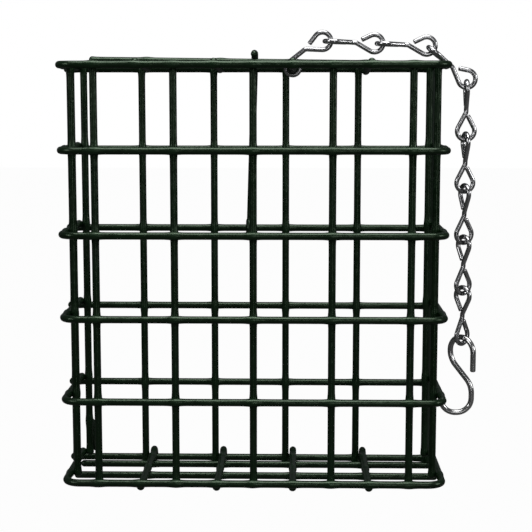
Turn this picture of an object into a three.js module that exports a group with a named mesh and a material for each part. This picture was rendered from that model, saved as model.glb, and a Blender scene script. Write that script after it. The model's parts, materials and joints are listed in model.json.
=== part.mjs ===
// Hanging suet feeder: a welded mesh cage, a rear door on wire curls, a spring latch, a chain and an S-hook.
// X runs to the right, Y runs back from the front rails, Z runs up. Millimetres.
import * as THREE from 'three'

// ---- Wire and clearances ----
const WIRE = 2.4 // coated cage wire, diameter
const WELD_GAP = 0.1 // between two crossing wires that are welded under their coating
const PLAY = 0.35 // between a wire and the eye that turns on it

// ---- Basket ----
const BASKET_WIDTH = 123.8 // between the centres of the two side runs
const BASKET_DEPTH = 40.5 // from the front rails to the cut ends of the side runs
const RAIL_COUNT = 6
const RAIL_PITCH = 27.14
const RAIL_CORNER = 5 // bend radius on the centreline
const FRONT_UPRIGHTS = 5
const FRONT_MARGIN = 11.1 // from a side run to the nearest front upright
const SIDE_MID_Y = 12
const SIDE_REAR_INSET = 1.5 // from the cut ends forward to the rear uprights
const UPRIGHT_OVER = 1.2 // an upright's end beyond the top and bottom rails

// ---- Floor and top ----
const FLOOR_SHIFT = 0.35
const FLOOR_DROP = 1.7 // floor wires below the bottom rail
const FLOOR_CROSS_INSETS = [16.2, 1.9] // floor cross wires forward of the side runs' cut ends
const FLOOR_CROSS_OVER = 0.5 // their ends short of the basket's outer face
const ROOF_RISE = 0.85 // top wires above the top rail at the front
const ROOF_START_GAP = 0.3 // from the top front rail to the cut ends of the top wires
const ROOF_END_PAST = 0.5 // top wires' rear ends behind the side runs' cut ends
const ROOF_CROSS_INSET = 0.6 // top cross wire forward of the side runs' cut ends
const ROOF_CROSS_RISE = 1.5
const ROOF_CROSS_TILT = 0.8 // left end up and right end down by this
const ROOF_CROSS_GAP = 0.6 // from its ends to the rear uprights
const STOP_HEIGHT = 11.3
const STOP_LEAN = 1.8

// ---- Door ----
const DOOR_CLEAR = 1.3 // from the side runs' cut ends to the door's uprights
const DOOR_CURL_GAP = 0.3 // between a door upright and the floor wire's curl beside it
const DOOR_WIDER = 1.2 // outer uprights, centre to centre, beyond the basket's width
const DOOR_UPRIGHTS = 6
const DOOR_RAIL_OVER = 2.5 // a door rail's end beyond the outer uprights
const DOOR_TOP_DROP = 0.7 // top door rail below the basket's top rail
const HINGE_DROP = 3.5 // bottom door rail below the basket's bottom rail
const DOOR_UPRIGHT_OVER = 1.5
const CURL_LEAD = 2 // bend radius where a floor wire rises into its curl
const CURL_END = -45 // degrees, where a curl's tip stops

// ---- Latch ----
const LATCH_RAIL = 3 // door rail it turns on, counted from the top
const LATCH_FOOT_X = -2.6
const LATCH_TOP_X = -0.75
const LATCH_OVER = 0.7 // between its top run and the top cross wire
const LATCH_BEND = 2.5
const LATCH_TIP_PAST = 1 // tip forward of the top cross wire
const LATCH_TIP_DROP = 0.5

// ---- Chain and hook ----
const CHAIN_WIRE = 1.6
const LINK_PLAY = 0.5
const LINK_LENGTH = 19.55 // centreline, end to end
const LINK_WAIST = 1.2 // the straight bit between a link's two loops
const LOOP_RADIUS = 2.9
const WAIST_BEND = 1.4 // bend radius where the waist opens into a loop
const LOOP_TIP = 0.95 // from the waist's line to the centre of a loop's cut tip
const EYE_OPEN = 0.3 // where the first link's eye is cut, above its wire's centre, as a share of its radius
const FIRST_LOOP_TILT = 25 // degrees above level, of the first link's loop
const CHAIN_INSET = 10.5 // its plane forward of the side runs' cut ends
const CHAIN_ROOF_WIRE = 2 // top wire that carries the chain, counted from the left at 0
const CHAIN_SLOPE = 2.6 // degrees, the fall of the run that lies on top
const LINKS = 9
const ANCHOR_REACH = 9 // least distance along X from the anchor's wire to the first pivot
const EDGE_LINK_ANGLE = 39 // degrees below level, of the link that goes over the edge
const EDGE_LINK_BEFORE = 7.01 // of its length, before it meets the side rail
const EDGE_LINK_GAP = 0.3 // between it and the side rail
const HANG_TWIST = 11 // degrees, how much further each hanging link is turned about the vertical
const HOOK_WIRE = 1.9
const HOOK_RADIUS = 5
const HOOK_HEIGHT = 26.4 // centreline, top to bottom
const HOOK_SHIFT = 1.4 // lower bend's centre to the left of the upper one's
// In bend radii from a bend's middle and its crown: the corners of the hook's slanting run, and its cut tips.
// The last is in bend radii too: how gently the wire turns at those corners.
const UPPER_CORNER = 1.6
const LOWER_CORNER = 1.9
const UPPER_TIP = [1, 2.3]
const LOWER_TIP = [-1.1, 0.85]
const HOOK_SWEEP = 1.5

// ---- Facets ----
const WIRE_SIDES = 12
const CHAIN_SIDES = 8
const BEND_STEP = 22.5 // degrees per facet round a bend
const LINK_STEP = 22.5
const EPS = 1e-9

const rad = THREE.MathUtils.degToRad
const vec = (x, y, z) => new THREE.Vector3(x, y, z)
const direction = (angle) => vec(Math.cos(rad(angle)), 0, Math.sin(rad(angle))) // in the plane of X and Z

// ---- Sizes that follow ----
const HALF_WIDTH = BASKET_WIDTH / 2
const CROSSING = WIRE + WELD_GAP // centre to centre of two welded wires
const EYE_RADIUS = WIRE + PLAY // centreline of a cage wire's eye on another cage wire
const TOP_Z = (RAIL_COUNT - 1) * RAIL_PITCH
const FRONT_PITCH = (BASKET_WIDTH - 2 * FRONT_MARGIN) / (FRONT_UPRIGHTS - 1)
const REAR_Y = BASKET_DEPTH - SIDE_REAR_INSET
const DOOR_PITCH = (BASKET_WIDTH + DOOR_WIDER) / (DOOR_UPRIGHTS - 1)
const DOOR_SHIFT = FLOOR_SHIFT - WIRE - DOOR_CURL_GAP // each inner upright stands beside a floor wire's curl
const ROOF_WIRES = DOOR_UPRIGHTS - 2
const ROOF_START = WIRE / 2 + ROOF_START_GAP
const ROOF_CROSS_Y = BASKET_DEPTH - ROOF_CROSS_INSET
const FLOOR_Z = -FLOOR_DROP
const DOOR_Y = BASKET_DEPTH + DOOR_CLEAR + WIRE / 2 + CROSSING
const DOOR_TOP_Z = TOP_Z - DOOR_TOP_DROP
const HINGE_Z = -HINGE_DROP
const DOOR_RAIL_PITCH = (DOOR_TOP_Z - HINGE_Z) / (RAIL_COUNT - 1)
const LINK_HANG = CHAIN_WIRE + LINK_PLAY // centre to centre where two links meet
const LOOP_LENGTH = (LINK_LENGTH - LINK_WAIST) / 2
const LOOP_ANGLE = Math.asin(LOOP_RADIUS / (LOOP_LENGTH - LOOP_RADIUS)) // a loop's side to its axis
const CHAIN_X = centred(CHAIN_ROOF_WIRE, ROOF_WIRES, DOOR_PITCH)
const CHAIN_Y = BASKET_DEPTH - CHAIN_INSET

// The height of the sloping top cross wire at x.
function roofCrossZ(x) {
  return TOP_Z + ROOF_CROSS_RISE - (ROOF_CROSS_TILT * x) / HALF_WIDTH
}

// The height of the top wire at x, at a depth of y.
function roofWireZ(x, y) {
  const front = TOP_Z + ROOF_RISE
  const back = roofCrossZ(x) - CROSSING
  return front + ((back - front) * (y - ROOF_START)) / (ROOF_CROSS_Y - ROOF_START)
}

// Where copy i of count stands, when they are spread evenly about 0.
function centred(i, count, pitch) {
  return (i - (count - 1) / 2) * pitch
}

// ---- Paths: lists of points, straight runs in one step and bends in even steps ----

// A path through corners given as [point, bend radius].
function bentPath(start, corners, end, step = BEND_STEP) {
  const stops = [start, ...corners.map(([point]) => point), end]
  const points = [start]
  corners.forEach(([corner, radius], i) => {
    const back = stops[i].clone().sub(corner).normalize()
    const on = stops[i + 2].clone().sub(corner).normalize()
    const turn = Math.PI - back.angleTo(on)
    const inset = radius * Math.tan(turn / 2)
    const middle = back.clone().add(on).normalize()
    const centre = corner.clone().addScaledVector(middle, radius / Math.cos(turn / 2))
    const first = corner.clone().addScaledVector(back, inset).sub(centre)
    const axis = on.clone().cross(back).normalize()
    const count = Math.max(1, Math.ceil(THREE.MathUtils.radToDeg(turn) / step - EPS))
    for (let k = 0; k <= count; k += 1) {
      points.push(first.clone().applyAxisAngle(axis, (turn * k) / count).add(centre))
    }
  })
  points.push(end)
  return points
}

// Points round a bend in the plane of Y and Z, at x, between two angles in degrees.
function bendYZ(x, centreY, centreZ, radius, from, to, step = BEND_STEP) {
  const count = Math.max(1, Math.ceil(Math.abs(to - from) / step - EPS))
  return Array.from({ length: count + 1 }, (_, k) => {
    const angle = rad(from + ((to - from) * k) / count)
    return vec(x, centreY + radius * Math.cos(angle), centreZ + radius * Math.sin(angle))
  })
}

// A curve that stops exactly on its points, so that a straight run takes one step.
class WireCurve extends THREE.Curve {
  constructor(points) {
    super()
    this.points = points.filter((p, i) => i === 0 || p.distanceTo(points[i - 1]) > 1e-3)
    this.steps = this.points.length - 1
  }

  getPoint(t) {
    return this.points[Math.round(t * this.steps)].clone()
  }

  getPointAt(u) {
    return this.getPoint(u)
  }

  getTangentAt(u) {
    const i = Math.round(u * this.steps)
    const tangent = vec(0, 0, 0)
    if (i > 0) tangent.add(this.points[i].clone().sub(this.points[i - 1]).normalize())
    if (i < this.steps) tangent.add(this.points[i + 1].clone().sub(this.points[i]).normalize())
    return tangent.normalize()
  }
}

// A regular section whose flats, not its corners, lie at the wire's radius and face the axes.
function section(diameter, sides) {
  const radius = diameter / 2 / Math.cos(Math.PI / sides)
  const corners = Array.from({ length: sides }, (_, i) => {
    const angle = ((i + 0.5) / sides) * 2 * Math.PI
    return new THREE.Vector2(radius * Math.cos(angle), radius * Math.sin(angle))
  })
  return new THREE.Shape(corners)
}

// ---- Materials ----
const coating = new THREE.MeshStandardMaterial({ color: 0x1f2d26, roughness: 0.38, metalness: 0 })
const zinc = new THREE.MeshStandardMaterial({ color: 0xb9bcbf, roughness: 0.32, metalness: 1 })

const feeder = new THREE.Group()

function addWire(name, points, diameter = WIRE, sides = WIRE_SIDES, material = coating) {
  const path = new WireCurve(points)
  const shape = section(diameter, sides)
  const geometry = new THREE.ExtrudeGeometry(shape, { steps: path.steps, extrudePath: path })
  const mesh = new THREE.Mesh(geometry, material)
  mesh.name = name
  feeder.add(mesh)
}

function addChainWire(name, points, diameter = CHAIN_WIRE) {
  addWire(name, points, diameter, CHAIN_SIDES, zinc)
}

// ---- Basket: U rails outside, uprights inside them ----
function addBasket() {
  for (let i = 0; i < RAIL_COUNT; i += 1) {
    const z = TOP_Z - i * RAIL_PITCH
    const corners = [
      [vec(-HALF_WIDTH, 0, z), RAIL_CORNER],
      [vec(HALF_WIDTH, 0, z), RAIL_CORNER],
    ]
    const left = vec(-HALF_WIDTH, BASKET_DEPTH, z)
    addWire(`basket_rail_${i + 1}`, bentPath(left, corners, vec(HALF_WIDTH, BASKET_DEPTH, z)))
  }
  const bottom = -UPRIGHT_OVER
  const top = TOP_Z + UPRIGHT_OVER
  for (let i = 0; i < FRONT_UPRIGHTS; i += 1) {
    const x = centred(i, FRONT_UPRIGHTS, FRONT_PITCH)
    addWire(`front_upright_${i + 1}`, [vec(x, CROSSING, bottom), vec(x, CROSSING, top)])
  }
  for (const [side, sign] of [['left', -1], ['right', 1]]) {
    const x = sign * (HALF_WIDTH - CROSSING)
    addWire(`side_upright_${side}_mid`, [vec(x, SIDE_MID_Y, bottom), vec(x, SIDE_MID_Y, top)])
    addWire(`side_upright_${side}_rear`, [vec(x, REAR_Y, bottom), vec(x, REAR_Y, top)])
  }
}

// ---- Floor: four wires that end in the curls the door turns on, over two cross wires ----
function addFloor() {
  const touch = WIRE / 2 + WELD_GAP
  const start = Math.sqrt(touch ** 2 - Math.min(touch, FLOOR_DROP - WIRE / 2) ** 2)
  const rise = THREE.MathUtils.radToDeg(
    Math.acos((FLOOR_Z - HINGE_Z + CURL_LEAD) / (EYE_RADIUS + CURL_LEAD)),
  )
  const leadY = DOOR_Y - (EYE_RADIUS + CURL_LEAD) * Math.sin(rad(rise))
  for (let i = 0; i < ROOF_WIRES; i += 1) {
    const x = centred(i, ROOF_WIRES, DOOR_PITCH) + FLOOR_SHIFT
    const lead = bendYZ(x, leadY, FLOOR_Z + CURL_LEAD, CURL_LEAD, -90, rise - 90)
    const curl = bendYZ(x, DOOR_Y, HINGE_Z, EYE_RADIUS, rise + 90, CURL_END)
    addWire(`floor_wire_${i + 1}`, [vec(x, start, FLOOR_Z), ...lead, ...curl])
  }
  const reach = HALF_WIDTH + WIRE / 2 - FLOOR_CROSS_OVER
  FLOOR_CROSS_INSETS.forEach((inset, i) => {
    const y = BASKET_DEPTH - inset
    const z = FLOOR_Z - CROSSING
    addWire(`floor_cross_wire_${i + 1}`, [vec(-reach, y, z), vec(reach, y, z)])
  })
  const stopX = -HALF_WIDTH + CROSSING
  const stopY = REAR_Y + CROSSING
  addWire('corner_stop', [vec(stopX + STOP_LEAN, stopY, 0), vec(stopX, stopY, STOP_HEIGHT)])
}

// ---- Top: four sloping wires under one cross wire at the back ----
function addRoof() {
  for (let i = 0; i < ROOF_WIRES; i += 1) {
    const x = centred(i, ROOF_WIRES, DOOR_PITCH)
    const end = BASKET_DEPTH + ROOF_END_PAST
    const front = vec(x, ROOF_START, roofWireZ(x, ROOF_START))
    addWire(`top_wire_${i + 1}`, [front, vec(x, end, roofWireZ(x, end))])
  }
  const reach = HALF_WIDTH - CROSSING - WIRE / 2 - ROOF_CROSS_GAP
  const ends = [-reach, reach].map((x) => vec(x, ROOF_CROSS_Y, roofCrossZ(x)))
  addWire('top_cross_wire', ends)
}

// ---- Door: six rails outside six uprights, the lowest rail is the hinge pin ----
function addDoor() {
  const reach = (DOOR_PITCH * (DOOR_UPRIGHTS - 1)) / 2 + DOOR_RAIL_OVER
  for (let i = 0; i < RAIL_COUNT; i += 1) {
    const z = DOOR_TOP_Z - i * DOOR_RAIL_PITCH
    const ends = [-reach, reach].map((x) => vec(DOOR_SHIFT + x, DOOR_Y, z))
    addWire(`door_rail_${i + 1}`, ends)
  }
  const y = DOOR_Y - CROSSING
  for (let i = 0; i < DOOR_UPRIGHTS; i += 1) {
    const x = DOOR_SHIFT + centred(i, DOOR_UPRIGHTS, DOOR_PITCH)
    const bottom = vec(x, y, HINGE_Z - DOOR_UPRIGHT_OVER)
    addWire(`door_upright_${i + 1}`, [bottom, vec(x, y, DOOR_TOP_Z + DOOR_UPRIGHT_OVER)])
  }
}

// ---- Latch: an eye on a door rail, a run up behind the door and a hook over the top cross wire ----
function addLatch() {
  const railZ = DOOR_TOP_Z - (LATCH_RAIL - 1) * DOOR_RAIL_PITCH
  const back = DOOR_Y + EYE_RADIUS
  const front = DOOR_Y - EYE_RADIUS
  const x = LATCH_FOOT_X
  const topZ = TOP_Z + ROOF_CROSS_RISE + WIRE + LATCH_OVER
  const tip = ROOF_CROSS_Y - LATCH_TIP_PAST
  const corners = [
    [vec(x, front, railZ + EYE_RADIUS), EYE_RADIUS],
    [vec(x, front, railZ - EYE_RADIUS), EYE_RADIUS],
    [vec(x, back, railZ - EYE_RADIUS), EYE_RADIUS],
    [vec(LATCH_TOP_X, back, topZ), LATCH_BEND],
    [vec(LATCH_TOP_X, ROOF_CROSS_Y + CROSSING, topZ), WIRE],
  ]
  const end = vec(LATCH_TOP_X, tip, topZ - LATCH_TIP_DROP)
  addWire('latch_wire', bentPath(vec(x, DOOR_Y, railZ + EYE_RADIUS), corners, end))
}

// ---- Chain ----

// A pear-shaped loop at the end of a length: its corners from the waist out and back, as [along, across,
// bend radius], and its cut tip. Its round end has one centre, and its sides are tangents from the waist.
function loopCorners(length) {
  const waist = length - LOOP_LENGTH
  const shoulder = length - LOOP_RADIUS - LOOP_RADIUS * Math.tan(LOOP_ANGLE / 2)
  return {
    corners: [
      [waist, 0, WAIST_BEND],
      [shoulder, -LOOP_RADIUS, LOOP_RADIUS],
      [length, -LOOP_RADIUS, LOOP_RADIUS],
      [length, LOOP_RADIUS, LOOP_RADIUS],
      [shoulder, LOOP_RADIUS, LOOP_RADIUS],
    ],
    tip: [waist + LOOP_TIP / Math.tan(LOOP_ANGLE), LOOP_TIP],
  }
}

// A link from its start along a direction in the plane of X and Z. Its second loop stands in that plane
// and its first loop square to it, both turned about the link's own line by a twist.
function addLink(name, start, angle, twist) {
  const along = direction(angle)
  const turned = (v) => v.applyAxisAngle(along, -rad(twist))
  const upright = turned(vec(-along.z, 0, along.x))
  const deep = turned(vec(0, 1, 0))
  const at = (across, distance, offset) =>
    start.clone().addScaledVector(along, distance).addScaledVector(across, offset)
  const loop = loopCorners(LINK_LENGTH)
  const far = loop.corners.map(([d, o, r]) => [at(upright, d, o), r])
  const near = loop.corners.map(([d, o, r]) => [at(deep, LINK_LENGTH - d, o), r]).reverse()
  const from = at(deep, LINK_LENGTH - loop.tip[0], loop.tip[1])
  const to = at(upright, loop.tip[0], loop.tip[1])
  addChainWire(name, bentPath(from, [...near, ...far], to, LINK_STEP))
}

// The first link: an eye on a top wire, and a tilted loop that ends round the pivot.
function addAnchorLink(name, pivot) {
  const eye = (WIRE + CHAIN_WIRE) / 2 + PLAY
  const wire = vec(CHAIN_X, CHAIN_Y, roofWireZ(CHAIN_X, CHAIN_Y))
  const around = (dx, dz) => wire.clone().add(vec(dx * eye, 0, dz * eye))
  const along = direction(FIRST_LOOP_TILT)
  const upright = vec(-along.z, 0, along.x)
  const start = pivot.clone().addScaledVector(along, LOOP_RADIUS - LINK_LENGTH)
  const at = (d, o) => start.clone().addScaledVector(along, d).addScaledVector(upright, o)
  const loop = loopCorners(LINK_LENGTH)
  const bends = loop.corners.map(([d, o, r]) => [at(d, o), r])
  // The run from the eye to the loop leaves the eye along its tangent.
  const toWaist = bends[0][0].clone().sub(wire)
  const heading = Math.atan2(toWaist.z, toWaist.x) - Math.asin(eye / toWaist.length())
  const corners = [
    [around(1, -1), eye],
    [around(-1, -1), eye],
    [around(-1, Math.tan((Math.PI / 2 - heading) / 2)), eye],
    ...bends,
  ]
  addChainWire(name, bentPath(around(1, EYE_OPEN), corners, at(...loop.tip), LINK_STEP))
}

// The S-hook, hung on a pivot: a lower bend in the chain's plane, and an upper bend turned square to the
// last link's loop.
function addHook(pivot, linkTwist) {
  const top = pivot.z - LOOP_RADIUS + (CHAIN_WIRE + HOOK_WIRE) / 2 + LINK_PLAY
  const bottom = top - HOOK_HEIGHT
  const cos = Math.cos(rad(linkTwist - 90))
  const sin = Math.sin(rad(linkTwist - 90))
  const upper = (across, down) =>
    vec(pivot.x + across * HOOK_RADIUS * cos, pivot.y + across * HOOK_RADIUS * sin, top - down * HOOK_RADIUS)
  const lower = (across, up) =>
    vec(pivot.x - HOOK_SHIFT + across * HOOK_RADIUS, pivot.y, bottom + up * HOOK_RADIUS)
  const corners = [
    [upper(1, 0), HOOK_RADIUS],
    [upper(-1, 0), HOOK_RADIUS],
    [upper(-1, UPPER_CORNER), HOOK_SWEEP * HOOK_RADIUS],
    [lower(1, LOWER_CORNER), HOOK_SWEEP * HOOK_RADIUS],
    [lower(1, 0), HOOK_RADIUS],
    [lower(-1, 0), HOOK_RADIUS],
  ]
  const tips = [upper(...UPPER_TIP), lower(...LOWER_TIP)]
  addChainWire('s_hook', bentPath(tips[0], corners, tips[1], LINK_STEP), HOOK_WIRE)
}

// The chain is laid out from the link that goes over the edge: back along the top, then down.
function addChain() {
  const over = direction(-EDGE_LINK_ANGLE)
  const apart = (WIRE + CHAIN_WIRE) / 2 + EDGE_LINK_GAP
  const edge = vec(HALF_WIDTH, CHAIN_Y, TOP_Z)
    .addScaledVector(direction(90 - EDGE_LINK_ANGLE), apart)
    .addScaledVector(over, -EDGE_LINK_BEFORE)
  const links = [[edge, -EDGE_LINK_ANGLE, 0]]
  const inset = LOOP_RADIUS - LINK_HANG // from a bend's centre to the start of the link that turns on it
  const slope = direction(-CHAIN_SLOPE)
  let pivot = edge.clone().addScaledVector(over, -inset)
  // As many links lie on top as leave room for the anchor. The others hang.
  const room = pivot.x - CHAIN_X - ANCHOR_REACH
  const onTop = Math.floor(room / ((LINK_LENGTH - LOOP_RADIUS + inset) * slope.x))
  for (let i = 0; i < onTop; i += 1) {
    const start = pivot.clone().addScaledVector(slope, LOOP_RADIUS - LINK_LENGTH)
    links.unshift([start, -CHAIN_SLOPE, 0])
    pivot = start.clone().addScaledVector(slope, -inset)
  }
  addAnchorLink('chain_link_1', pivot)
  const down = direction(-90)
  pivot = edge.clone().addScaledVector(over, LINK_LENGTH - LOOP_RADIUS)
  const hanging = LINKS - links.length - 1
  for (let i = 0; i < hanging; i += 1) {
    const start = pivot.clone().addScaledVector(down, inset)
    links.push([start, -90, i * HANG_TWIST])
    pivot = start.clone().addScaledVector(down, LINK_LENGTH - LOOP_RADIUS)
  }
  links.forEach((link, i) => addLink(`chain_link_${i + 2}`, ...link))
  addHook(pivot, (hanging - 1) * HANG_TWIST)
}

addBasket()
addFloor()
addRoof()
addDoor()
addLatch()
addChain()

// The origin is the hanging point: the middle of the top wire inside the chain's first eye.
feeder.position.set(-CHAIN_X, -CHAIN_Y, -roofWireZ(CHAIN_X, CHAIN_Y))

export default feeder
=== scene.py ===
# %% [markdown]
# # A hanging suet feeder in coated wire
# The real thing is a small cage of steel wire, welded where the wires cross and then dipped in dark green
# plastic. Its door turns on four wire curls, a wire latch hooks over the top, and a zinc-plated chain with
# an S-hook lies over one side. Everything here is wire, so the lesson is about one tool used well: a round
# section carried along a path, with a radius that changes on the way.

# %% Load the frame
import json
import math

import bpy
import numpy as np
from mathutils import Matrix, Vector


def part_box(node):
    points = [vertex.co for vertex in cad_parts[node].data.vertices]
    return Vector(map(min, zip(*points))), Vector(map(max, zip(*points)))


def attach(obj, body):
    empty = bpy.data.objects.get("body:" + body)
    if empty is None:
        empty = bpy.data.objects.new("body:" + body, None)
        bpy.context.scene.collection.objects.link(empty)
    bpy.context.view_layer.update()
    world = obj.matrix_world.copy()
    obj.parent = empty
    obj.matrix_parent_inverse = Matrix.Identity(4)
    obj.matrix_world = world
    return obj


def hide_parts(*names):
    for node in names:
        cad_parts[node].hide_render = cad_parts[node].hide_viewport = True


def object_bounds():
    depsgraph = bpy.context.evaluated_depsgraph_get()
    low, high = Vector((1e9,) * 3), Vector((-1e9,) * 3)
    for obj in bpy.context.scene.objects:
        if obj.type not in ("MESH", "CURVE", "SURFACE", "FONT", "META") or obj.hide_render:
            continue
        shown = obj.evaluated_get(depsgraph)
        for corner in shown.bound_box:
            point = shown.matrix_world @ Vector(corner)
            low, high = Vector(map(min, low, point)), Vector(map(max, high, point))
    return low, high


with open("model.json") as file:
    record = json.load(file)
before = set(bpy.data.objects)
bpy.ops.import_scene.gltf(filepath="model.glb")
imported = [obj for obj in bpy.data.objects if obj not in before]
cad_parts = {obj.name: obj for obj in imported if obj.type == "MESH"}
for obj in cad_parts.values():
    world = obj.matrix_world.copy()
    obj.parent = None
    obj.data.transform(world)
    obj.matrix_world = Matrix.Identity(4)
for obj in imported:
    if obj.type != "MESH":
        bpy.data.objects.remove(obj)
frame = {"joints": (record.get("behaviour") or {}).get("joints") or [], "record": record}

cad_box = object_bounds()
MM = 0.001
bodies = frame["record"]["behaviour"]["bodies"]
body_of_node = {node: body for body, nodes in bodies.items() for node in nodes}
slot_of_node = {part["node"]: part["material_slot"] for part in frame["record"]["subparts"]}

# %% [markdown]
# ## Measures from the frame
# The frame knows where each wire of the cage lies, so those places aren't typed in. A straight wire's box
# gives its centreline and its thickness at once: the short sides are the wire's diameter.


# %% Boxes as arrays
def low_high(node):
    """The lowest and highest corner of a CAD node, as two numpy arrays in metres."""
    low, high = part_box(node)
    return np.array(low), np.array(high)


def middle(node):
    """The middle of a CAD node's box."""
    low, high = low_high(node)
    return (low + high) / 2


rail_low, rail_high = low_high("basket_rail_6")
WIRE_R = (rail_high[2] - rail_low[2]) / 2
FRONT_Y = rail_low[1] + WIRE_R
MIDDLE_X = (rail_low[0] + rail_high[0]) / 2
BOTTOM_Z = middle("basket_rail_6")[2]
CORNER_R = 5 * MM
EYE_PLAY = 0.35 * MM
WELD_GAP = 0.1 * MM
EYE_R = 2 * WIRE_R + EYE_PLAY
CHAIN_R = 0.8 * MM
HOOK_R = 0.95 * MM
print(f"cage wire {2 * WIRE_R / MM:.2f} mm")

# %% [markdown]
# ## Camera
# A cage is best seen from a little above and through a long lens, so that the front and the back meshes show
# as two grids, the back one slightly smaller. The camera is placed from the basket's
# front bottom rail, and turned by a pitch and a yaw.

# %% Camera
CAMERA_FROM_RAIL = np.array([13.52, -428.2, 127.19]) * MM
PITCH = math.radians(7.36)
YAW = math.radians(-1.25)
SENSOR_MM = 36
LENS_MM = 91.35
NEAR_CLIP = 0.01
forward = Vector((math.sin(YAW) * math.cos(PITCH), math.cos(YAW) * math.cos(PITCH), -math.sin(PITCH)))
right = forward.cross(Vector((0, 0, 1))).normalized()
up = right.cross(forward)

camera_data = bpy.data.cameras.new("camera")
camera_data.sensor_width = SENSOR_MM
camera_data.lens = LENS_MM
camera = bpy.data.objects.new("camera", camera_data)
bpy.context.scene.collection.objects.link(camera)
turn = Matrix((right, up, -forward)).transposed().to_4x4()
place = np.array([MIDDLE_X, FRONT_Y, BOTTOM_Z]) + CAMERA_FROM_RAIL
camera.matrix_world = Matrix.Translation(Vector(place)) @ turn
camera_data.clip_start = NEAR_CLIP
bpy.context.scene.camera = camera
print(f"lens {LENS_MM} mm, {np.linalg.norm(CAMERA_FROM_RAIL):.3f} m from the front rail")

# %% [markdown]
# ## Light and floor
# Dark glossy wire shows only what it reflects. A wide soft light overhead draws one pale line along the
# top of every rail and leaves the uprights nearly black. The surroundings are kept dim for reflections but
# white to look at, which the Light Path node in the world allows. The Standard view transform shows a value
# of 1 as pure white, so the backdrop needs no more light than that and doesn't eat into the thin wires.


# %% View transform
bpy.context.scene.view_settings.view_transform = "Standard"


# %% Lights
def area_light(name, at, towards, width, height, energy):
    """A rectangular soft light at a place, facing a point. All in metres and watts."""
    data = bpy.data.lights.new(name, "AREA")
    data.shape = "RECTANGLE"
    data.size = width
    data.size_y = height
    data.energy = energy
    lamp = bpy.data.objects.new(name, data)
    lamp.location = at
    lamp.rotation_euler = (Vector(towards) - Vector(at)).to_track_quat("-Z", "Y").to_euler()
    bpy.context.scene.collection.objects.link(lamp)
    return lamp


# %% Place the lights
# Each row: x, y and height over the bottom rail, then width, height and watts.
LIGHTS = {
    "top_light": (0.02, -0.12, 0.75, 0.5, 0.5, 5.5),
    "left_light": (-0.6, -0.5, 0.35, 0.25, 0.25, 1.3),
    "right_light": (0.75, -0.3, 0.3, 0.22, 0.22, 1.6),
    "front_strip": (0.16, -0.95, 0.16, 0.10, 0.8, 0.9),
}
AIM_HEIGHT = 0.07
aim = (cad_box[0][0] + cad_box[1][0]) / 2, (cad_box[0][1] + cad_box[1][1]) / 2, BOTTOM_Z + AIM_HEIGHT
for lamp_name, (lamp_x, lamp_y, above, wide, tall, watts) in LIGHTS.items():
    area_light(lamp_name, (lamp_x, lamp_y, BOTTOM_Z + above), aim, wide, tall, watts)
print("lights", ", ".join(LIGHTS))

# %% World, white to look at and dim in reflections
SURROUND_TINT = (0.93, 0.97, 1, 1)
SURROUND_STRENGTH = 0.085
world = bpy.data.worlds.new("studio")
bpy.context.scene.world = world
world.use_nodes = True
tree = world.node_tree
tree.nodes.clear()
seen = tree.nodes.new("ShaderNodeBackground")
seen.inputs["Color"].default_value = (1, 1, 1, 1)
seen.inputs["Strength"].default_value = 1.0
around = tree.nodes.new("ShaderNodeBackground")
around.inputs["Color"].default_value = SURROUND_TINT
around.inputs["Strength"].default_value = SURROUND_STRENGTH
path_node = tree.nodes.new("ShaderNodeLightPath")
pick = tree.nodes.new("ShaderNodeMixShader")
world_out = tree.nodes.new("ShaderNodeOutputWorld")
tree.links.new(path_node.outputs["Is Camera Ray"], pick.inputs[0])
tree.links.new(around.outputs[0], pick.inputs[1])
tree.links.new(seen.outputs[0], pick.inputs[2])
tree.links.new(pick.outputs[0], world_out.inputs[0])
print("world strength in reflections", SURROUND_STRENGTH)

# %% Floor
# The feeder hangs, so the floor lies below it. The door clears the floor when it is let right down, by about
# 10 mm. The latch doesn't when it also swings right off the open door: it then reaches about 28 mm through.
FLOOR_GAP = 60 * MM
FLOOR_SIZE = 3.0
PAPER_GREY = 0.10
PAPER_SHOWN = 0.98
floor_z = cad_box[0][2] - FLOOR_GAP
corners = np.array([[-1, -1], [1, -1], [1, 1], [-1, 1]]) * FLOOR_SIZE
floor_mesh = bpy.data.meshes.new("floor")
floor_mesh.from_pydata([(x, y, floor_z) for x, y in corners], [], [(0, 1, 2, 3)])
floor = bpy.data.objects.new("floor", floor_mesh)
bpy.context.scene.collection.objects.link(floor)
floor_paint = bpy.data.materials.new("floor_paper")
floor_paint.use_nodes = True
tree = floor_paint.node_tree
paper = tree.nodes["Principled BSDF"]
paper.inputs["Base Color"].default_value = (PAPER_GREY, PAPER_GREY, PAPER_GREY, 1)
paper.inputs["Roughness"].default_value = 1.0
paper.inputs["Specular IOR Level"].default_value = 0.0
lit_paper = tree.nodes.new("ShaderNodeEmission")
lit_paper.inputs["Strength"].default_value = 1.0
floor_rays = tree.nodes.new("ShaderNodeLightPath")
shown = tree.nodes.new("ShaderNodeMath")
shown.operation = "MULTIPLY"
shown.inputs[1].default_value = PAPER_SHOWN
both = tree.nodes.new("ShaderNodeMixShader")
tree.links.new(floor_rays.outputs["Is Camera Ray"], shown.inputs[0])
tree.links.new(shown.outputs[0], both.inputs[0])
tree.links.new(paper.outputs[0], both.inputs[1])
tree.links.new(lit_paper.outputs[0], both.inputs[2])
tree.links.new(both.outputs[0], tree.nodes["Material Output"].inputs["Surface"])
floor_mesh.materials.append(floor_paint)
print(f"floor at z {floor_z / MM:.1f} mm")
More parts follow.
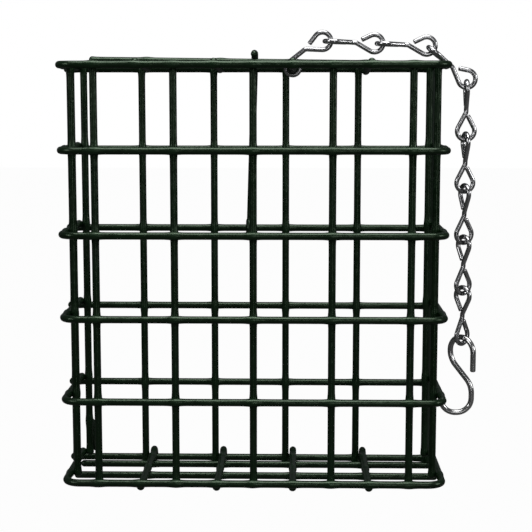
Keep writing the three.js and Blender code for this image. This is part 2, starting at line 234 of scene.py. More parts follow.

# %% [markdown]
# ## Shader node groups
# The coating isn't perfectly smooth: dipped plastic has a faint orange peel, dull patches where it was
# handled, and it gathers at the welds. Streaks serve both zincs, and the gathering group serves every
# finish:
# on the zinc it gives painted shade where chain links interlock. So these are node groups with named inputs
# and outputs. The peel is one too, so that another plastic could use it.


# %% A helper that starts a group
def new_group(name, inputs, outputs):
    """An empty shader group with float or colour sockets, and its input and output nodes."""
    group = bpy.data.node_groups.new(name, "ShaderNodeTree")
    for label, kind, value in inputs:
        socket = group.interface.new_socket(label, in_out="INPUT", socket_type=kind)
        socket.default_value = value
    for label, kind in outputs:
        group.interface.new_socket(label, in_out="OUTPUT", socket_type=kind)
    return group, group.nodes.new("NodeGroupInput"), group.nodes.new("NodeGroupOutput")


def math_node(nodes, operation, *values):
    """A Math node with constants or links to come in its sockets."""
    node = nodes.new("ShaderNodeMath")
    node.operation = operation
    for socket, value in zip(node.inputs, values):
        socket.default_value = value
    return node


# %% Orange peel: fine height and slow dull patches, from Object coordinates
SPECK_SCALE_SHARE = 0.4
SPECK_SIZE = 0.16
SPECK_RISE = 0.5
TONE_SCALE_TIMES = 3.1


def make_peel_group():
    """Height is fine noise, raised at specks, plus Waviness x slow noise.

    Dullness and Tone are slow noise."""
    group, given, out = new_group(
        "plastic_peel",
        [
            ("Peel Scale", "NodeSocketFloat", 900.0),
            ("Patch Scale", "NodeSocketFloat", 60.0),
            ("Waviness", "NodeSocketFloat", 0.0),
        ],
        [("Height", "NodeSocketFloat"), ("Dullness", "NodeSocketFloat"), ("Tone", "NodeSocketFloat")],
    )
    nodes, links = group.nodes, group.links
    where = nodes.new("ShaderNodeTexCoord")
    peel = nodes.new("ShaderNodeTexNoise")
    peel.inputs["Detail"].default_value = 2.0
    patch = nodes.new("ShaderNodeTexNoise")
    patch.inputs["Detail"].default_value = 5.0
    patch.inputs["Roughness"].default_value = 0.65
    speck = nodes.new("ShaderNodeTexVoronoi")
    speck_scale = math_node(nodes, "MULTIPLY", 0.0, SPECK_SCALE_SHARE)
    speck_size = math_node(nodes, "LESS_THAN", 0.0, SPECK_SIZE)
    speck_rise = math_node(nodes, "MULTIPLY_ADD", 0.0, SPECK_RISE, 0.0)
    for texture in (peel, patch, speck):
        links.new(where.outputs["Object"], texture.inputs["Vector"])
    links.new(given.outputs["Peel Scale"], peel.inputs["Scale"])
    links.new(given.outputs["Patch Scale"], patch.inputs["Scale"])
    links.new(given.outputs["Peel Scale"], speck_scale.inputs[0])
    links.new(speck_scale.outputs[0], speck.inputs["Scale"])
    links.new(speck.outputs["Distance"], speck_size.inputs[0])
    links.new(speck_size.outputs[0], speck_rise.inputs[0])
    links.new(peel.outputs["Fac"], speck_rise.inputs[2])
    links.new(patch.outputs["Fac"], out.inputs["Dullness"])
    tone = nodes.new("ShaderNodeTexNoise")
    tone_scale = math_node(nodes, "MULTIPLY", 0.0, TONE_SCALE_TIMES)
    links.new(given.outputs["Patch Scale"], tone_scale.inputs[0])
    links.new(where.outputs["Object"], tone.inputs["Vector"])
    links.new(tone_scale.outputs[0], tone.inputs["Scale"])
    links.new(tone.outputs["Fac"], out.inputs["Tone"])
    wavy = math_node(nodes, "MULTIPLY_ADD", 0.0, 0.0, 0.0)
    links.new(tone.outputs["Fac"], wavy.inputs[0])
    links.new(given.outputs["Waviness"], wavy.inputs[1])
    links.new(speck_rise.outputs[0], wavy.inputs[2])
    links.new(wavy.outputs[0], out.inputs["Height"])
    return group


# %% Drawn wire: streaks along the length, from the wire's own attributes
CLOUD_SCALE = 420.0


def make_streak_group():
    """Streaks run along the wire: noise read at (around x many, along x few), so it stretches."""
    group, given, out = new_group(
        "drawn_streaks",
        [("Around Scale", "NodeSocketFloat", 9.0), ("Along Scale", "NodeSocketFloat", 220.0)],
        [("Streak", "NodeSocketFloat"), ("Cloud", "NodeSocketFloat")],
    )
    nodes, links = group.nodes, group.links
    along = nodes.new("ShaderNodeAttribute")
    along.attribute_name = "along"
    rim = nodes.new("ShaderNodeAttribute")
    rim.attribute_name = "rim"
    place_node = nodes.new("ShaderNodeCombineXYZ")
    for attribute, scale, axis in ((rim, "Around Scale", "Y"), (along, "Along Scale", "Z")):
        times = math_node(nodes, "MULTIPLY", 0.0, 1.0)
        links.new(attribute.outputs["Fac"], times.inputs[0])
        links.new(given.outputs[scale], times.inputs[1])
        links.new(times.outputs[0], place_node.inputs[axis])
    streak = nodes.new("ShaderNodeTexNoise")
    streak.inputs["Scale"].default_value = 1.0
    streak.inputs["Detail"].default_value = 3.0
    links.new(place_node.outputs[0], streak.inputs["Vector"])
    links.new(streak.outputs["Fac"], out.inputs["Streak"])
    where = nodes.new("ShaderNodeTexCoord")
    cloud = nodes.new("ShaderNodeTexNoise")
    cloud.inputs["Scale"].default_value = CLOUD_SCALE
    cloud.inputs["Detail"].default_value = 4.0
    links.new(where.outputs["Object"], cloud.inputs["Vector"])
    links.new(cloud.outputs["Fac"], out.inputs["Cloud"])
    return group


# %% Gathered coat at welds, and painted shade where chain links interlock
def make_gather_and_shade_group():
    """The output is the weld attribute times Amount, broken up by noise so that no two welds look alike. On
    the chain and the hook that attribute marks where links interlock, and the output is painted shade there.
    """
    group, given, out = new_group(
        "gathered_coat_and_contact_shade",
        [("Amount", "NodeSocketFloat", 1.0), ("Break Up", "NodeSocketFloat", 300.0)],
        [("Gather And Shade", "NodeSocketFloat")],
    )
    nodes, links = group.nodes, group.links
    weld = nodes.new("ShaderNodeAttribute")
    weld.attribute_name = "weld"
    where = nodes.new("ShaderNodeTexCoord")
    noise = nodes.new("ShaderNodeTexNoise")
    links.new(where.outputs["Object"], noise.inputs["Vector"])
    links.new(given.outputs["Break Up"], noise.inputs["Scale"])
    broken = math_node(nodes, "MULTIPLY", 0.0, 0.0)
    links.new(weld.outputs["Fac"], broken.inputs[0])
    links.new(noise.outputs["Fac"], broken.inputs[1])
    scaled = math_node(nodes, "MULTIPLY", 0.0, 1.0)
    links.new(broken.outputs[0], scaled.inputs[0])
    links.new(given.outputs["Amount"], scaled.inputs[1])
    links.new(scaled.outputs[0], out.inputs["Gather And Shade"])
    return group


peel_group = make_peel_group()
streak_group = make_streak_group()
gather_and_shade_group = make_gather_and_shade_group()
print("groups", ", ".join(group.name for group in (peel_group, streak_group, gather_and_shade_group)))


# %% [markdown]
# ## Finishes
# Green plastic covers the cage, and zinc in two tints the chain and the hook. Each is one Principled shader,
# fed by the groups, with plain numbers left on the shader itself.


# %% Helpers for a material
def place_group(tree, group, **values):
    """A group node in a material, with its inputs set by name (spaces written as underscores)."""
    node = tree.nodes.new("ShaderNodeGroup")
    node.node_tree = group
    for label, value in values.items():
        node.inputs[label.replace("_", " ")].default_value = value
    return node


def map_range(tree, source, low, high, from_low=0.3, from_high=0.7):
    """A Map Range node that turns noise between from_low and from_high into low to high."""
    node = tree.nodes.new("ShaderNodeMapRange")
    node.inputs["From Min"].default_value = from_low
    node.inputs["From Max"].default_value = from_high
    node.inputs["To Min"].default_value = low
    node.inputs["To Max"].default_value = high
    tree.links.new(source, node.inputs["Value"])
    return node.outputs["Result"]


def mix_colours(tree, factor, first, second):
    """A colour mix between two colours, or between a linked colour and another."""
    node = tree.nodes.new("ShaderNodeMix")
    node.data_type = "RGBA"
    tree.links.new(factor, node.inputs["Factor"])
    for socket, colour in ((node.inputs[6], first), (node.inputs[7], second)):
        if isinstance(colour, tuple):
            socket.default_value = (*colour, 1)
        else:
            tree.links.new(colour, socket)
    return node.outputs[2]


def bump_from(tree, shader, height, strength, distance):
    """Feeds a height into the shader's normal."""
    bump = tree.nodes.new("ShaderNodeBump")
    bump.inputs["Strength"].default_value = strength
    bump.inputs["Distance"].default_value = distance
    tree.links.new(height, bump.inputs["Height"])
    tree.links.new(bump.outputs["Normal"], shader.inputs["Normal"])


# %% Green plastic coating
COAT_DARK = (0.0012, 0.0058, 0.0016)
COAT_GREEN = (0.0026, 0.0110, 0.0034)
COAT_GATHERED = (0.0048, 0.0175, 0.0062)
COAT_ROUGH = (0.22, 0.38)
COAT_TINT = (0.72, 1.0, 0.70, 1)
PEEL_STRENGTH = 0.25
PEEL_HEIGHT = 0.00006


def make_coating():
    """Nearly black green plastic, satin, duller in patches and a little paler where it gathers."""
    material = bpy.data.materials.new("green_plastic_coating")
    material.use_nodes = True
    tree = material.node_tree
    shader = tree.nodes["Principled BSDF"]
    peel = place_group(tree, peel_group, Peel_Scale=1500.0, Patch_Scale=70.0, Waviness=20.0)
    gather_and_shade = place_group(tree, gather_and_shade_group, Amount=1.3, Break_Up=420.0)
    tone = map_range(tree, peel.outputs["Tone"], 0.0, 1.0)
    colour = mix_colours(tree, tone, COAT_DARK, COAT_GREEN)
    colour = mix_colours(tree, gather_and_shade.outputs["Gather And Shade"], colour, COAT_GATHERED)
    tree.links.new(colour, shader.inputs["Base Color"])
    dull = map_range(tree, peel.outputs["Dullness"], *COAT_ROUGH)
    tree.links.new(dull, shader.inputs["Roughness"])
    shader.inputs["IOR"].default_value = 1.5
    shader.inputs["Specular IOR Level"].default_value = 0.42
    shader.inputs["Specular Tint"].default_value = COAT_TINT
    bump_from(tree, shader, peel.outputs["Height"], PEEL_STRENGTH, PEEL_HEIGHT)
    return material


# %% Bright zinc on the chain and the hook
CLOUD_DARK = 0.72
# Painted shade: the share of the tint kept where one chain link passes through the next, and where the hook
# hangs.
CONTACT_SHADE_DARK = 0.45
STREAK_STRENGTH = 0.10
STREAK_HEIGHT = 0.00005


def make_zinc(name, tint, rough_low, rough_high):
    """Plated steel wire: drawn streaks, cloudy patches, and painted shade where links interlock."""
    material = bpy.data.materials.new(name)
    material.use_nodes = True
    tree = material.node_tree
    shader = tree.nodes["Principled BSDF"]
    streaks = place_group(tree, streak_group, Around_Scale=7.0, Along_Scale=260.0)
    gather_and_shade = place_group(tree, gather_and_shade_group, Amount=1.2, Break_Up=900.0)
    cloud = map_range(tree, streaks.outputs["Cloud"], 0.0, 1.0)
    darker = tuple(CLOUD_DARK * value for value in tint)
    # Painted shade: the tint is darkened where links interlock.
    contact_shade_colour = tuple(CONTACT_SHADE_DARK * value for value in tint)
    colour = mix_colours(tree, cloud, darker, tint)
    colour = mix_colours(tree, gather_and_shade.outputs["Gather And Shade"], colour, contact_shade_colour)
    tree.links.new(colour, shader.inputs["Base Color"])
    shader.inputs["Metallic"].default_value = 1.0
    rough = map_range(tree, streaks.outputs["Streak"], rough_low, rough_high)
    tree.links.new(rough, shader.inputs["Roughness"])
    bump_from(tree, shader, streaks.outputs["Streak"], STREAK_STRENGTH, STREAK_HEIGHT)
    return material


# %% Make the three finishes
CHAIN_TINT = (0.56, 0.56, 0.57)
HOOK_TINT = (0.66, 0.66, 0.66)
finish_of_slot = {"coating": make_coating(), "zinc": make_zinc("bright_zinc", CHAIN_TINT, 0.14, 0.30)}
hook_finish = make_zinc("hook_zinc", HOOK_TINT, 0.14, 0.28)
print("finishes", *(finish.name for finish in finish_of_slot.values()), hook_finish.name)


# %% [markdown]
# ## Paths
# A maker bends wire in a jig: straight, bend, straight. A path here is the same: corner points with a bend
# radius each, turned into arcs, and then measured by arc length so that stations can be put anywhere.


# %% Bent paths
ARC_STEP = math.radians(5)


def bend(before, corner, after, radius):
    """Points round one bend: centre + radius (cos a e1 + sin a e2), a from 0 to the turn angle."""
    back = (before - corner) / np.linalg.norm(before - corner)
    on = (after - corner) / np.linalg.norm(after - corner)
    turn_angle = math.pi - math.acos(float(np.clip(back @ on, -1, 1)))
    halfway = (back + on) / np.linalg.norm(back + on)
    centre = corner + halfway * radius / math.cos(turn_angle / 2)
    first = corner + back * radius * math.tan(turn_angle / 2) - centre
    e1 = first / radius
    e2 = -back - ((-back) @ e1) * e1
    e2 = e2 / np.linalg.norm(e2)
    angles = np.linspace(0, turn_angle, max(2, math.ceil(turn_angle / ARC_STEP) + 1))[:, None]
    return centre + radius * (np.cos(angles) * e1 + np.sin(angles) * e2)


def bent_path(start, corners, end):
    """A path from start to end through (corner, radius) pairs, each corner an arc."""
    stops = [start, *[corner for corner, _ in corners], end]
    arcs = [bend(stops[i], c, stops[i + 2], r) for i, (c, r) in enumerate(corners)]
    points = np.vstack([[start], *arcs, [end]])
    keep = np.r_[True, np.linalg.norm(np.diff(points, axis=0), axis=1) > 1e-7]
    return points[keep]


def arc_lengths(points):
    """The distance along a path to each of its points."""
    return np.r_[0, np.cumsum(np.linalg.norm(np.diff(points, axis=0), axis=1))]


def along_path(points, distances):
    """Points at the given distances along a path, by linear interpolation of each coordinate."""
    lengths = arc_lengths(points)
    return np.stack([np.interp(distances, lengths, points[:, k]) for k in range(3)], axis=1)


# %% [markdown]
# ## The wire maker
# Each wire is a ring of points carried along its path. The radius is a function of the distance along:
# round at the ends, and swollen a little near each weld, where the dipped plastic makes a fillet. A
# normal that is set by the plane of the bend keeps the rings from twisting.

# %% Stations along a wire
DOME_STEPS = 7


def stations(length, radius, spacing, dome):
    """Distances and radii: quarter-ellipse ends dome x radius long, and even steps between them."""
    angle = np.linspace(0, math.pi / 2, DOME_STEPS + 1)[1:]
    rise = dome * radius * (1 - np.cos(angle))
    count = max(2, math.ceil((length - 2 * rise[-1]) / spacing))
    inner = np.linspace(rise[-1], length - rise[-1], count + 1)[1:-1]
    distances = np.r_[rise, inner, (length - rise)[::-1]]
    radii = np.r_[radius * np.sin(angle), np.full(len(inner), radius), (radius * np.sin(angle))[::-1]]
    return distances, radii


def ring_frames(points, normals):
    """Two unit vectors across the path at each point: the normal made square to the tangent, and t x n."""
    tangent = np.gradient(points, axis=0)
    tangent /= np.linalg.norm(tangent, axis=1, keepdims=True)
    across = normals - np.sum(normals * tangent, axis=1, keepdims=True) * tangent
    across /= np.linalg.norm(across, axis=1, keepdims=True)
    return across, np.cross(tangent, across)


# %% The swept wire as a mesh
def wire_mesh(name, path, normals, radius, welds=(), swell=0.0, reach=1.8 * MM, spacing=0.9 * MM,
              sides=18, dome=1.0):
    """point + r(s) (cos a n + sin a b), closed by one pole at each end; r(s) grows near a weld.

    The growth is swell x exp(-(d / reach)^2), where d is the distance along to the nearest weld."""
    lengths = arc_lengths(path)
    distances, radii = stations(lengths[-1], radius, spacing, dome)
    points = along_path(path, distances)
    normal_rows = np.stack([np.interp(distances, lengths, normals[:, k]) for k in range(3)], axis=1)
    near = np.zeros(len(distances))
    if len(welds):
        gap = np.abs(distances[:, None] - np.asarray(welds)[None, :]).min(axis=1)
        near = np.exp(-((gap / reach) ** 2))
    radii = radii * (1 + swell * near)
    across, over = ring_frames(points, normal_rows)
    angle = np.linspace(0, 2 * math.pi, sides, endpoint=False)
    ring = np.cos(angle)[None, :, None] * across[:, None] + np.sin(angle)[None, :, None] * over[:, None]
    grid = points[:, None] + radii[:, None, None] * ring
    rows = len(points)
    ends = along_path(path, np.array([0.0, lengths[-1]]))
    vertices = np.vstack([grid.reshape(-1, 3), ends])

    i, j = np.meshgrid(np.arange(rows - 1), np.arange(sides), indexing="ij")
    k = (j + 1) % sides
    quads = np.stack([i * sides + j, i * sides + k, (i + 1) * sides + k, (i + 1) * sides + j], axis=-1)
    rim = np.arange(sides)
    rim_next = (rim + 1) % sides
    last = (rows - 1) * sides
    first_fan = np.stack([np.full(sides, rows * sides), rim_next, rim], axis=-1)
    last_fan = np.stack([np.full(sides, rows * sides + 1), last + rim, last + rim_next], axis=-1)
    faces = [*quads.reshape(-1, 4).tolist(), *first_fan.tolist(), *last_fan.tolist()]

    mesh = bpy.data.meshes.new(name)
    mesh.from_pydata(vertices.tolist(), [], faces)
    mesh.polygons.foreach_set("use_smooth", np.ones(len(faces), dtype=bool))
    values = {
        "along": np.r_[np.repeat(distances, sides), 0.0, lengths[-1]],
        "rim": np.r_[np.tile(np.abs(angle / math.pi - 1), rows), 0.0, 0.0],
        "weld": np.r_[np.repeat(near, sides), near[0], near[-1]],
    }
    for label, numbers in values.items():
        mesh.attributes.new(label, "FLOAT", "POINT").data.foreach_set("value", numbers.astype(np.float32))
    mesh.update()
    return mesh


def add_wire(node, mesh, finish=None):
    """Puts a finished wire in the scene in place of its CAD node, on that node's body."""
    piece = bpy.data.objects.new(f"{node}_wire", mesh)
    bpy.context.scene.collection.objects.link(piece)
    mesh.materials.append(finish or finish_of_slot[slot_of_node[node]])
    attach(piece, body_of_node[node])
    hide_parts(node)
    return piece


# %% [markdown]
# ## Paths of the cage wires
# Every cage wire is straight but for the basket's rails, the floor wires and the latch. Straight ones come
# from their boxes alone. A sloping one also needs to know which way it falls.

# %% Straight wires
cage_paths = {}


def straight(node, axis, fall=None):
    """A straight wire along one axis of its box; fall is an axis on which it runs from high to low."""
    low, high = low_high(node)
    start = (low + high) / 2
    end = start.copy()
    start[axis], end[axis] = low[axis], high[axis]
    if fall is not None:
        drop = (high[fall] - low[fall]) / 2 - WIRE_R
        start[fall] += drop
        end[fall] -= drop
    cage_paths[node] = np.array([start, end])


for i in range(1, 6):
    straight(f"front_upright_{i}", 2)
for place_name in ("left_mid", "left_rear", "right_mid", "right_rear"):
    straight(f"side_upright_{place_name}", 2)
for i in (1, 2):
    straight(f"floor_cross_wire_{i}", 0)
for i in range(1, 5):
    straight(f"top_wire_{i}", 1, fall=2)
straight("top_cross_wire", 0, fall=2)
for i in range(1, 7):
    straight(f"door_rail_{i}", 0)
    straight(f"door_upright_{i}", 2)
straight("corner_stop", 2, fall=0)
print("straight wires", len(cage_paths))

# %% U-shaped rails
for i in range(1, 7):
    node = f"basket_rail_{i}"
    low, high = low_high(node)
    z = (low[2] + high[2]) / 2
    left_x, right_x, front_y = low[0] + WIRE_R, high[0] - WIRE_R, low[1] + WIRE_R
    bends = [(np.array([left_x, front_y, z]), CORNER_R), (np.array([right_x, front_y, z]), CORNER_R)]
    start, end = np.array([left_x, high[1], z]), np.array([right_x, high[1], z])
    cage_paths[node] = bent_path(start, bends, end)
print("with the rails", len(cage_paths))

# %% [markdown]
# ## Floor wires with curls
# The floor wires do two jobs. They carry the cake, and their back ends are curled round the door's lowest
# rail as its hinge. The curl starts with a small rise, so that the wire meets the circle on its tangent:
# cos(rise) = (height of the wire over the pin + lead radius) / (eye radius + lead radius).

# %% Floor wires
LEAD_R = 2 * MM
CURL_END = math.radians(-45)
pin = middle("door_rail_6")


def circle_yz(x, centre_y, centre_z, radius, start, stop):
    """Points round an arc in the plane of Y and Z: (y, z) = centre + radius (cos a, sin a)."""
    count = max(2, math.ceil(abs(stop - start) / ARC_STEP) + 1)
    angle = np.linspace(start, stop, count)
    y = centre_y + radius * np.cos(angle)
    return np.stack([np.full(count, x), y, centre_z + radius * np.sin(angle)], axis=1)


def floor_wire_path(node):
    """Straight back, up on a small arc, then over and down round the pin."""
    low, _ = low_high(node)
    x = middle(node)[0]
    z = middle("floor_cross_wire_1")[2] + 2 * WIRE_R + WELD_GAP
    rise = math.acos((z - pin[2] + LEAD_R) / (EYE_R + LEAD_R))
    lead_y = pin[1] - (EYE_R + LEAD_R) * math.sin(rise)
    lead = circle_yz(x, lead_y, z + LEAD_R, LEAD_R, -math.pi / 2, rise - math.pi / 2)
    curl = circle_yz(x, pin[1], pin[2], EYE_R, rise + math.pi / 2, CURL_END)
    return np.vstack([[[x, low[1], z]], lead, curl[1:]])


for i in range(1, 5):
    cage_paths[f"floor_wire_{i}"] = floor_wire_path(f"floor_wire_{i}")
print("with the floor wires", len(cage_paths))

# %% The latch
LATCH_BEND_R = 2.5 * MM
low, high = low_high("latch_wire")
latch_rail = middle("door_rail_3")
front, back = latch_rail[1] - EYE_R, latch_rail[1] + EYE_R
foot_x, top_x = low[0] + WIRE_R, high[0] - WIRE_R
run_z = high[2] - WIRE_R
tip_drop = 0.5 * MM
knee_y = middle("top_cross_wire")[1] + 2 * WIRE_R + WELD_GAP
latch_corners = [
    (np.array([foot_x, front, latch_rail[2] + EYE_R]), EYE_R),
    (np.array([foot_x, front, latch_rail[2] - EYE_R]), EYE_R),
    (np.array([foot_x, back, latch_rail[2] - EYE_R]), EYE_R),
    (np.array([top_x, back, run_z]), LATCH_BEND_R),
    (np.array([top_x, knee_y, run_z]), 2 * WIRE_R),
]
latch_start = np.array([foot_x, latch_rail[1], latch_rail[2] + EYE_R])
latch_end = np.array([top_x, low[1], run_z - tip_drop])
cage_paths["latch_wire"] = bent_path(latch_start, latch_corners, latch_end)
print("coated wires", len(cage_paths))

# %% [markdown]
# ## Welds
# The wires were welded first and dipped after, so the plastic runs into a small fillet at every crossing.
# The crossings aren't typed in. Two wires of one body that pass within a wire's thickness and a little are
# taken as welded, and the place is where their paths come closest.

# %% Find the welds
WELD_SLACK = 0.35 * MM
WELD_REACH = 2 * WIRE_R + WELD_SLACK
SAMPLE = 0.5 * MM
sampled = {}
for node, path in cage_paths.items():
    reach = arc_lengths(path)[-1]
    at = np.linspace(0, reach, math.ceil(reach / SAMPLE) + 1)
    sampled[node] = (at, along_path(path, at))
welds_of = {node: [] for node in cage_paths}
names = sorted(cage_paths)
for first_i, first in enumerate(names):
    for second in names[first_i + 1:]:
        if body_of_node[first] != body_of_node[second]:
            continue
        at_a, points_a = sampled[first]
        at_b, points_b = sampled[second]
        gaps = np.linalg.norm(points_a[:, None] - points_b[None], axis=2)
        row, column = np.unravel_index(np.argmin(gaps), gaps.shape)
        if gaps[row, column] < WELD_REACH:
            welds_of[first].append(at_a[row])
            welds_of[second].append(at_b[column])
print("welds", sum(len(w) for w in welds_of.values()) // 2)

# %% Make the coated wires
# The plane of each bend gives its normal: rails bend flat, floor wires and the latch bend upright.
WELD_SWELL = 0.18
X_AXIS, Y_AXIS, Z_AXIS = np.eye(3)


def plane_normal(node):
    """The direction square to the plane in which a coated wire is bent, or any square one if straight."""
    if node.startswith("basket_rail"):
        return Z_AXIS
    if "upright" in node or node == "corner_stop":
        return Y_AXIS
    if node.startswith(("door_rail", "top_cross", "floor_cross")):
        return Z_AXIS
    return X_AXIS


for node, path in cage_paths.items():
    normals = np.tile(plane_normal(node), (len(path), 1))
    mesh = wire_mesh(f"{node}_wire", path, normals, WIRE_R, welds_of[node], WELD_SWELL)
    add_wire(node, mesh)
print("coated wires made", len(cage_paths))

# %% [markdown]
# ## Chain links
# Each link is one piece of thin wire: a loop, a short stem, and a second loop turned a quarter round, so
# that flat loops always catch upright ones. The joints of the frame give the centre of every bend on which
# the next link turns, and two such pivots place a link.

# %% The outline of a loop
LINK_LENGTH = 19.55 * MM
LINK_WAIST = 1.2 * MM
LOOP_R = 2.9 * MM
WAIST_BEND = 1.4 * MM
TIP_OFF = 0.95 * MM
LINK_GAP = 0.5 * MM
HANG_TWIST = math.radians(11)
LINKS_BEFORE_HANGING = 4
DEEP = Y_AXIS
LOOP_LENGTH = (LINK_LENGTH - LINK_WAIST) / 2
LOOP_ANGLE = math.asin(LOOP_R / (LOOP_LENGTH - LOOP_R))
pivots = [np.array(joint["pos_m"]) for joint in frame["joints"] if joint["name"].startswith("chain_hinge")]
pivots += [np.array(joint["pos_m"]) for joint in frame["joints"] if joint["name"] == "hook_hinge"]
print("pivots", len(pivots))


def loop_outline(tip_off=TIP_OFF):
    """(along, across, bend radius) of a pear's corners, from the waist out and round, and its cut tip.

    The sides are tangents from the waist to the round end: sin(angle) = radius / (length - radius)."""
    waist = LINK_LENGTH - LOOP_LENGTH
    shoulder = LINK_LENGTH - LOOP_R - LOOP_R * math.tan(LOOP_ANGLE / 2)
    corners = [
        (waist, 0, WAIST_BEND),
        (shoulder, -LOOP_R, LOOP_R),
        (LINK_LENGTH, -LOOP_R, LOOP_R),
        (LINK_LENGTH, LOOP_R, LOOP_R),
        (shoulder, LOOP_R, LOOP_R),
    ]
    return corners, (waist + tip_off / math.tan(LOOP_ANGLE), tip_off)


def link_path(pivot, next_pivot, twist, tip_off):
    """A flat loop about the first pivot and an upright loop about the second, crossing at the waist.

    Both are turned about the link's own line: side = cos(twist) side0 + sin(twist) deep0."""
    ahead = (next_pivot - pivot) / np.linalg.norm(next_pivot - pivot)
    plain = np.cross(ahead, DEEP)
    upright = math.cos(twist) * plain + math.sin(twist) * DEEP
    deep = math.cos(twist) * DEEP - math.sin(twist) * plain
    start = pivot + ahead * (LOOP_R - 2 * CHAIN_R - LINK_GAP)
    corners, tip = loop_outline(tip_off)
    far = [(start + ahead * d + upright * o, r) for d, o, r in corners]
    near = [(start + ahead * (LINK_LENGTH - d) + deep * o, r) for d, o, r in corners][::-1]
    first = start + ahead * (LINK_LENGTH - tip[0]) + deep * tip[1]
    last = start + ahead * tip[0] + upright * tip[1]
    path = bent_path(first, [*near, *far], last)
    waist = np.clip(((path - start) @ ahead - LOOP_LENGTH) / LINK_WAIST, 0, 1)
    normals = np.cos(waist * math.pi / 2)[:, None] * upright + np.sin(waist * math.pi / 2)[:, None] * deep
    return path, normals


# %% Make the links from the second on
# The first hanging link isn't turned, and each one below it is turned a little further round than the one
# above, as real ones settle. The loops of the hanging links are closed up: their cut ends run on until they
# meet the waist, and sink a little into it. Those on top stand slightly open.
LINKS = 9
CUT_DOME = 0.3
CLOSED_TIP_OFF = 0.5 * MM
# Painted shade where links interlock: how far it spreads along the wire, and how far past the next pivot the
# second spot lies.
SHADE_REACH = 1.6 * MM
SHADE_PAST_PIVOT = 0.17
LINK_STEP = 0.35 * MM
LINK_SIDES = 16
NO_SWELL = 0.0


def contact_shade_places(path, centres):
    """Where along a path it comes nearest to each centre: the spots where links interlock, given painted
    shade.
    """
    lengths = arc_lengths(path)
    return [lengths[np.argmin(np.linalg.norm(path - centre, axis=1))] for centre in centres]


for i in range(2, LINKS + 1):
    node = f"chain_link_{i}"
    pivot, next_pivot = pivots[i - 1], pivots[i]
    twist = HANG_TWIST * max(0, i - LINKS_BEFORE_HANGING - 1)
    tip_off = CLOSED_TIP_OFF if i > LINKS_BEFORE_HANGING else TIP_OFF
    path, normals = link_path(pivot, next_pivot, twist, tip_off)
    # Painted shade where the neighbouring links pass through this one.
    shade_spots = contact_shade_places(path, [pivot, next_pivot + (next_pivot - pivot) * SHADE_PAST_PIVOT])
    mesh = wire_mesh(f"{node}_wire", path, normals, CHAIN_R, shade_spots, NO_SWELL, SHADE_REACH, LINK_STEP,
                     LINK_SIDES, CUT_DOME)
    add_wire(node, mesh)
print("last link made", node)

# %% The first link, which is closed round a top wire
# Its eye is square corners rounded at the eye's own radius, and the run to the loop leaves on the tangent.
FIRST_LOOP_TILT = math.radians(25)
TOP_EYE_R = WIRE_R + CHAIN_R + EYE_PLAY
EYE_CUT = 0.3


def first_link_path(wire_centre, pivot):
    """An eye about the top wire, a straight run, and a tilted loop about the pivot, all in one plane."""
    ahead = np.array([math.cos(FIRST_LOOP_TILT), 0, math.sin(FIRST_LOOP_TILT)])
    upright = np.cross(ahead, DEEP)
    start = pivot + ahead * (LOOP_R - LINK_LENGTH)
    corners, tip = loop_outline()
    loop = [(start + ahead * d + upright * o, r) for d, o, r in corners]

    def around(dx, dz):
        return wire_centre + TOP_EYE_R * np.array([dx, 0, dz])

    to_waist = loop[0][0] - wire_centre
    heading = math.atan2(to_waist[2], to_waist[0]) - math.asin(TOP_EYE_R / np.linalg.norm(to_waist))
    eye = [
        (around(1, -1), TOP_EYE_R),
        (around(-1, -1), TOP_EYE_R),
        (around(-1, math.tan((math.pi / 2 - heading) / 2)), TOP_EYE_R),
    ]
    return bent_path(around(1, EYE_CUT), [*eye, *loop], start + ahead * tip[0] + upright * tip[1])


path = first_link_path(pivots[0], pivots[1])
normals = np.tile(DEEP, (len(path), 1))
# Painted shade where the second link passes through.
shade_spots = contact_shade_places(path, [pivots[1]])
mesh = wire_mesh("chain_link_1_wire", path, normals, CHAIN_R, shade_spots, NO_SWELL, SHADE_REACH, LINK_STEP,
                 LINK_SIDES, CUT_DOME)
add_wire("chain_link_1", mesh)
print(f"first link's wire {arc_lengths(path)[-1] / MM:.1f} mm long")

# %% [markdown]
# ## The S-hook
# The hook is thicker and brighter wire. Its lower bend faces the front, and its upper bend is turned square
# to the last link's loop, so that it can pass through.

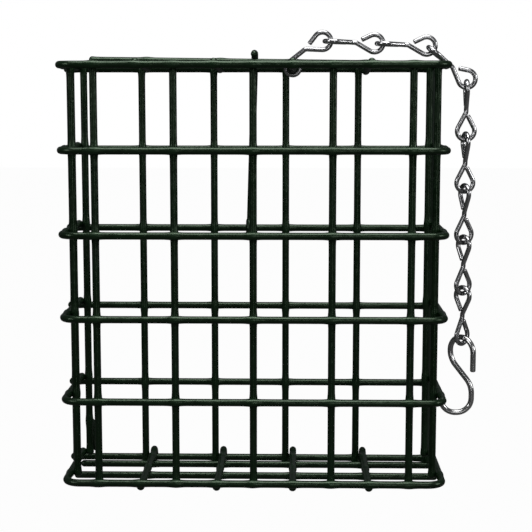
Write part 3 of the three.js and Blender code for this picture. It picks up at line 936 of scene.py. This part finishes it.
# %% Hook
HOOK_BEND_R = 5 * MM
HOOK_SWEEP_R = 7.5 * MM
HOOK_HEIGHT = 26.4 * MM
HOOK_SHIFT = 1.4 * MM
HOOK_TWIST = HANG_TWIST * (LINKS - LINKS_BEFORE_HANGING - 1) - math.pi / 2
UPPER_CORNER, LOWER_CORNER = 1.6, 1.9
UPPER_TIP, LOWER_TIP = (1, 2.3), (-1.1, 0.85)
TURN_FROM, TURN_OVER = 0.45, 0.2
# How far the painted shade spreads where the hook hangs in the last link.
HOOK_SHADE_REACH = 2.5 * MM
HOOK_STEP = 0.4 * MM
HOOK_SIDES = 20
HOOK_DOME = 0.5
hook_top = pivots[-1] + Z_AXIS * (HOOK_R + CHAIN_R + LINK_GAP - LOOP_R)
hook_bottom = hook_top - Z_AXIS * HOOK_HEIGHT - X_AXIS * HOOK_SHIFT
turned = math.cos(HOOK_TWIST) * X_AXIS + math.sin(HOOK_TWIST) * Y_AXIS


def upper(across, down):
    """A point of the upper bend's plane, in bend radii."""
    return hook_top + HOOK_BEND_R * (across * turned - down * Z_AXIS)


def lower(across, rise):
    """A point of the lower bend's plane, in bend radii."""
    return hook_bottom + HOOK_BEND_R * (across * X_AXIS + rise * Z_AXIS)


hook_corners = [
    (upper(1, 0), HOOK_BEND_R),
    (upper(-1, 0), HOOK_BEND_R),
    (upper(-1, UPPER_CORNER), HOOK_SWEEP_R),
    (lower(1, LOWER_CORNER), HOOK_SWEEP_R),
    (lower(1, 0), HOOK_BEND_R),
    (lower(-1, 0), HOOK_BEND_R),
]
path = bent_path(upper(*UPPER_TIP), hook_corners, lower(*LOWER_TIP))
share = np.clip((arc_lengths(path) / arc_lengths(path)[-1] - TURN_FROM) / TURN_OVER, 0, 1)[:, None]
upper_normal = np.cross(turned, Z_AXIS)
normals = (1 - share) * upper_normal + share * np.cross(X_AXIS, Z_AXIS)
# Painted shade where the hook hangs in the last link.
shade_spots = contact_shade_places(path, [hook_top])
mesh = wire_mesh("s_hook_wire", path, normals, HOOK_R, shade_spots, NO_SWELL, HOOK_SHADE_REACH, HOOK_STEP,
                 HOOK_SIDES, HOOK_DOME)
add_wire("s_hook", mesh, hook_finish)
print(f"hook's wire {arc_lengths(path)[-1] / MM:.1f} mm long")
